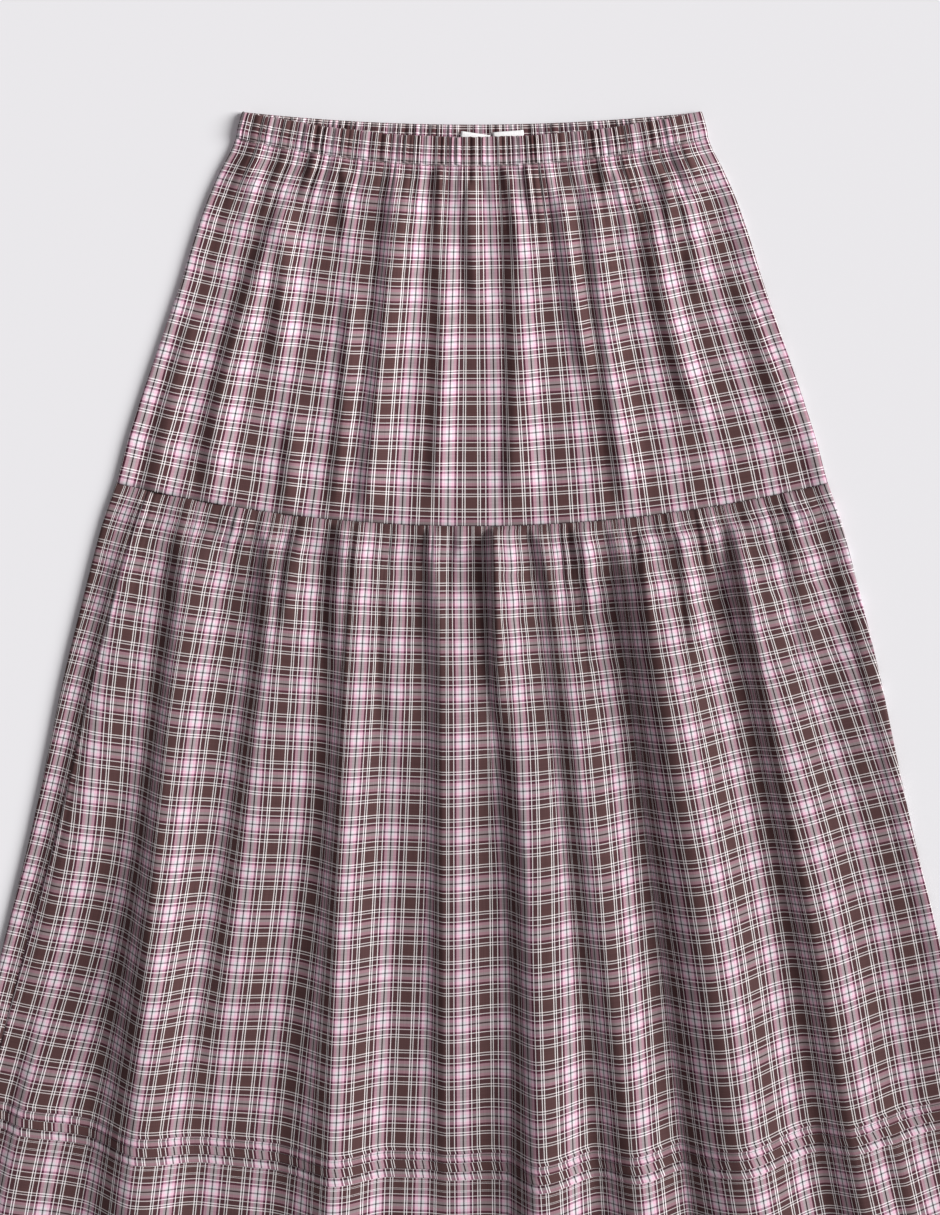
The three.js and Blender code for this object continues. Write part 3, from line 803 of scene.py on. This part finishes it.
def lower_back():
    v = np.linspace(TIER_DROP, LENGTH, 60)
    inset = seam_inset(v)
    under = np.linspace(0, 1, 161)
    start = (2 + inset)[:, None]
    flat = start + under[None, :] * (4 - start)
    edge = np.broadcast_to(-2 + edge_stations(), (len(v), EDGE_STEPS - 1))
    on_top = -1 + inset[:, None] * np.linspace(0, 1, 7)[None, :]
    stations = np.concatenate([flat, edge, on_top], axis=1)
    x, y, z = loop_grid(v, stations, LOWER)
    u = np.concatenate([[[0.0]] * len(v), np.cumsum(np.hypot(np.diff(x), np.diff(z)), 1)], 1)
    u = u * LOWER_CUT / u[:, -1:] + LOWER_BACK_SHIFT
    uv = np.stack([u, np.broadcast_to(v[:, None], u.shape)], -1)
    return add_mesh("lower_back", np.stack([x, y, z], -1), uv, lower_cloth)


def casing_wave(share):
    """Ruffles of the casing over its elastic, from 0 in the valleys to about 1."""
    place, fine, wide = gather_waves(CASING_RUFFLES, share)
    uneven_high = 0.72 + 0.2 * np.sin(place * 41 + 0.8) + 0.16 * np.sin(place * 149 + 0.4)
    return (0.7 * fine + 0.3 * wide) * uneven_high


# Section through a casing: distance below its top edge, height over the middle of the wall
CASING_SECTION = [
    (21.5, 0.5), (19.5, 0.85), (16, 1.05), (12, 1.1), (8, 1.1), (4.5, 1.05), (2.2, 0.95),
    (0.9, 0.75), (0.25, 0.4), (0, 0), (0.25, -0.4), (0.9, -0.75), (2.2, -0.95), (6, -1.1),
    (12, -1.1), (21.4, -1.1),
]
# Ruffles: full height, how far their valleys lie under the plain wall, and how far the waist
# edge ripples with them. The front is calm from this station on, and the back ruffles' raised
# walls stay this far over the ground.
FRONT_RUFFLE = 3.4
FRONT_VALLEY = 1.2
FRONT_RIPPLE = 0.5
FRONT_CALM_FROM = 0.86
BACK_RUFFLE = 3.8
BACK_RAISE = 0.6
BACK_RIPPLE = 0.7
ABOVE_GROUND = 0.02


def casing_front():
    stations = ring_stations()
    on_top = np.abs(stations) <= 1
    share = np.clip((stations + 1) / 2, 0, 1)
    calm = (1 - smooth(FRONT_CALM_FROM, FRONT_CALM_FROM + 0.04, stations)) * on_top
    wave = casing_wave(share) * calm * FRONT_RUFFLE - FRONT_VALLEY * calm
    angle = np.clip(np.abs(stations) - 1, 0, 1) * np.pi
    out_x = np.where(on_top, 0, np.sign(stations) * np.sin(angle))
    out_z = np.where(on_top, 1, np.cos(angle))
    rows = []
    sheets = []
    for drop, height in CASING_SECTION:
        x, y, z = loop_grid(np.array([drop]), stations, CASING)
        at_stitch = smooth(0, 5, CASING_DROP - drop) * 0.5 + 0.5
        lift = height + wave * at_stitch
        ripple = -FRONT_RIPPLE * wave * (1 - smooth(0, 4, drop))
        rows.append(np.stack([x[0] + out_x * lift, y[0] + ripple, z[0] + out_z * lift], -1))
        sheets.append(float(upper_along(drop)) if height >= 0 else -drop - BUNCH[0][1])
    grid = np.array(rows)
    u = steady_across(np.array([CASING_DROP]), ring_stations, UPPER, UPPER_CUT, UPPER_ANCHOR)
    u = np.broadcast_to(u, (len(rows), u.shape[1]))
    uv = np.stack([u, np.broadcast_to(np.array(sheets)[:, None], u.shape)], -1)
    return add_mesh("casing_front", grid, uv, upper_cloth, flip=True, solid=0)


def casing_back():
    columns = np.linspace(-1, 1, FRONT_COLUMNS)
    share = (columns + 1) / 2
    behind_labels = smooth(-0.1, -0.04, columns) * (1 - smooth(0.22, 0.28, columns))
    calm = smooth(0, 0.03, 1 - np.abs(columns)) * (1 - 0.45 * behind_labels)
    wave = casing_wave(share * 0.97 + 0.4) * calm
    rows = []
    sheets = []
    for drop, height in CASING_SECTION:
        x, y = back_grid([drop], columns, CASING)
        lift = height + BACK_RAISE + wave * BACK_RUFFLE
        ripple = -BACK_RIPPLE * wave * (1 - smooth(0, 4, drop))
        z = np.maximum(CASING_CLOTH / 2 + lift, ABOVE_GROUND)
        rows.append(np.stack([x[0], y[0] + ripple, z], -1))
        sheets.append(drop if height >= 0 else -drop)
    grid = np.array(rows)
    middle = grid[3:4]
    u = cloth_across(
        middle[..., 0], middle[..., 2], np.array([[CASING_DROP]]), UPPER_CUT,
        gathers=UPPER_GATHERS, start=CASING_DROP,
    )
    u = np.broadcast_to(u + CASING_BACK_SHIFT, (len(rows), u.shape[1]))
    uv = np.stack([u, np.broadcast_to(np.array(sheets)[:, None], u.shape)], -1)
    return add_mesh("casing_back", grid, uv, upper_cloth, flip=True, solid=0)


# Section through a tuck: share of its depth, height over the panel, depths of cloth used up
TUCK_SECTION = [
    (0.0, 0.1, 0.0), (0.25, 0.42, 0.25), (0.6, 0.62, 0.6), (0.85, 0.78, 0.86),
    (0.97, 0.74, 0.96), (1.0, 0.5, 1.0), (0.96, 0.26, 1.06), (0.5, 0.2, 1.5), (0.1, 0.14, 1.9),
]
TUCK_CLEAR = 0.1
STEEPEST = 1.5
# Length of each tuck's cut, enough for the deepest
TUCK_LONG = 12.6


def tuck_strip(name, edge, depth, taken):
    """One pressed tuck: a strip that leaves the panel, turns at its folded edge and comes back."""
    rows = []
    lines = []
    for share, height, turned in TUCK_SECTION:
        v = np.array([edge - depth + share * depth])
        x, y, z = (part[:, :-3] for part in loop_grid(v, lower_stations(v), LOWER))
        slope = np.gradient(z[0]) / np.maximum(np.abs(np.gradient(x[0])), 0.05)
        slope = np.clip(slope, -STEEPEST, STEEPEST)
        norm = np.sqrt(1 + slope ** 2)
        away = height + SHELL / 2 + TUCK_CLEAR
        rows.append(np.stack([x[0] - slope / norm * away, y[0], z[0] + away / norm], -1))
        u = steady_across(v, lower_stations, LOWER, LOWER_CUT, LOWER_ANCHOR)[0, :-3]
        across = u - TUCK_SKEW * turned * depth
        along = lower_along(edge - depth) + taken + turned * depth
        lines.append(np.stack([across, np.full_like(u, along)], -1))
    return add_mesh(name, np.array(rows), np.array(lines), lower_cloth, solid=0)


# Stitches: half width and half height of the thread, how far its ends sink in, its middle rises
# and its whole row lies over the cloth, and the gap between two
THREAD_WIDE = 0.22
THREAD_HIGH = 0.16
THREAD_SINK = 0.16
THREAD_RISE = 0.06
THREAD_OVER = 0.12
STITCH_GAP = 0.9


def stitches(name, v, piece, stations, long, material):
    """A row of thread stitches along a row of the cloth, each a small bent bar."""
    x, y, z = (part[0] for part in loop_grid([v], stations, piece))
    path = np.stack([x, y, z + SHELL / 2 + THREAD_OVER], -1)
    run = np.concatenate([[0], np.cumsum(np.linalg.norm(np.diff(path, axis=0), axis=1))])
    points = []
    faces = []
    section = [(-THREAD_WIDE, 0), (0, THREAD_HIGH), (THREAD_WIDE, 0), (0, -THREAD_HIGH)]
    for start in np.arange(0.5, run[-1] - long, long + STITCH_GAP):
        first = len(points)
        for share, lift in ((0.0, -THREAD_SINK), (0.5, THREAD_RISE), (1.0, -THREAD_SINK)):
            at = [np.interp(start + share * long, run, path[:, k]) for k in range(3)]
            for side, high in section:
                points.append((at[0], at[1] + side, at[2] + lift + high))
        for ring in range(2):
            for k in range(4):
                a = first + ring * 4 + k
                b = first + ring * 4 + (k + 1) % 4
                faces.append((a, b, b + 4, a + 4))
        faces.append((first + 3, first + 2, first + 1, first))
        faces.append((first + 8, first + 9, first + 10, first + 11))
    mesh = bpy.data.meshes.new(name)
    mesh.from_pydata((np.array(points) * MM).tolist(), [], faces)
    mesh.materials.append(material)
    row = bpy.data.objects.new(name, mesh)
    bpy.context.scene.collection.objects.link(row)
    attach(row, ROOT)


# Height of the labels over the ground, how far they wave, and their thickness
LABEL_HIGH = 5.7
LABEL_WAVE = 0.25
LABEL_CLOTH = 0.5


def add_label(name, x, down, wide, tall, turn):
    """A blank woven label, sewn on along its upper edge."""
    angle = math.radians(turn)
    across = np.linspace(0, wide, 13)
    along = np.linspace(0, tall, 9)
    a, b = np.meshgrid(across, along)
    px = x + a * math.cos(angle) + b * math.sin(angle)
    py = TOP_Y - down + a * math.sin(angle) - b * math.cos(angle)
    pz = LABEL_HIGH + LABEL_WAVE * np.sin(a / wide * 5) * (1 - b / tall)
    grid = np.stack([px, py, pz], -1)
    return add_mesh(name, grid, np.stack([a, b], -1), label_cloth, solid=LABEL_CLOTH)


def place(piece, node, slot, flat, held="laid", rests=(), area=None):
    """Put a sheet of cloth on the body in place of its solid."""
    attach(piece, ROOT)
    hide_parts(node)
    flat = (flat[0] * MM, flat[1] * MM)


UPPER_FLAT = (UPPER_CUT, UPPER_LONG)
LOWER_FLAT = (LOWER_CUT, LOWER_LONG)
CASING_FLAT = (UPPER_CUT, CASING_LONG)
place(lower_back(), "lower_tier_back", "lower_back_cloth", LOWER_FLAT)
place(upper_back(), "upper_tier_back", "upper_back_cloth", UPPER_FLAT)
place(casing_back(), "waist_casing_back", "casing_back_cloth", CASING_FLAT, "gathered")
FRONTS = [
    (upper_front, "upper_tier_front", "upper_front_cloth", UPPER_FLAT, "upper_back"),
    (lower_front, "lower_tier_front", "lower_front_cloth", LOWER_FLAT, "lower_back"),
    (casing_front, "waist_casing_front", "casing_front_cloth", CASING_FLAT, "casing_back"),
]
for make, node, slot, flat, lies_on in FRONTS:
    place(make(), node, slot, flat, "gathered", [lies_on])
taken = 0
for node, edge, depth in TUCKS:
    strip = tuck_strip(f"{node}_strip", edge, depth, taken)
    slot = node.replace("pintuck", "tuck") + "_cloth"
    cloth = LOWER_CUT * MM * 2 * depth * MM
    place(strip, node, slot, (LOWER_CUT, TUCK_LONG), "folded", ["lower_front"], area=cloth)
    taken += 2 * depth
for name, x, down, wide, tall, turn in LABELS:
    label = add_label(f"{name}_cloth_piece", x, down, wide, tall, turn)
    place(label, name, f"{name}_cloth", (wide, tall), "laid", ["casing_back"])

# Thread rows: under the elastic casing and at the turned hem
thread = yarn_material("brown_thread", srgb(96, 68, 68), 0.7)
along_front = np.linspace(-0.99, 0.99, 900)
stitches("casing_stitches", CASING_DROP + 1.2, UPPER, along_front, 2.2, thread)
stitches("hem_stitches", LENGTH - HEM_TURN, LOWER, along_front[20:], 2.4, thread)

# Pale ground just under the skirt, so wide that no other view shows its end
GROUND_HALF = 60.0
GROUND_LOW = -0.0003
corners = [(i * GROUND_HALF, j * GROUND_HALF, 0) for i, j in ((-1, -1), (1, -1), (1, 1), (-1, 1))]
ground_mesh = bpy.data.meshes.new("ground")
ground_mesh.from_pydata(corners, [], [(0, 1, 2, 3)])
ground = bpy.data.objects.new("ground", ground_mesh)
ground.location.z = GROUND_LOW
ground_mesh.materials.append(plain_material("ground_white", srgb(235, 235, 238), 0.9))
bpy.context.scene.collection.objects.link(ground)

# Soft key light from the right, and the studio round it
KEY_WAY = (-1.0, -0.17, -0.6)
KEY_ENERGY = 4.5
KEY_SOFTNESS = 34
KEY_COLOUR = (1.0, 0.995, 0.985)
STUDIO_COLOUR = (0.985, 0.935, 0.965, 1)
STUDIO_LIGHT = 0.26
sun = bpy.data.lights.new("key", "SUN")
sun.energy = KEY_ENERGY
sun.angle = math.radians(KEY_SOFTNESS)
sun.color = KEY_COLOUR
key = bpy.data.objects.new("key", sun)
key.rotation_mode = "QUATERNION"
key.rotation_quaternion = Vector(KEY_WAY).to_track_quat("-Z", "Y")
bpy.context.scene.collection.objects.link(key)

world = bpy.data.worlds.new("studio")
world.use_nodes = True
background = world.node_tree.nodes["Background"]
background.inputs["Color"].default_value = STUDIO_COLOUR
background.inputs["Strength"].default_value = STUDIO_LIGHT
bpy.context.scene.world = world
bpy.context.scene.view_settings.view_transform = "Standard"

# Camera straight above, framed as the photo: height in metres, then the longer side of the
# field and the middle of the picture in millimetres
CAMERA_HIGH = 2.4
FIELD = 923.4
PICTURE_X = -1.5
PICTURE_Y = 93.2
SENSOR = 36
camera_data = bpy.data.cameras.new("camera")
camera_data.sensor_width = SENSOR
camera_data.lens = SENSOR * CAMERA_HIGH / (FIELD * MM)
camera = bpy.data.objects.new("camera", camera_data)
camera.location = (PICTURE_X * MM, PICTURE_Y * MM, CAMERA_HIGH)
bpy.context.scene.collection.objects.link(camera)
bpy.context.scene.camera = camera
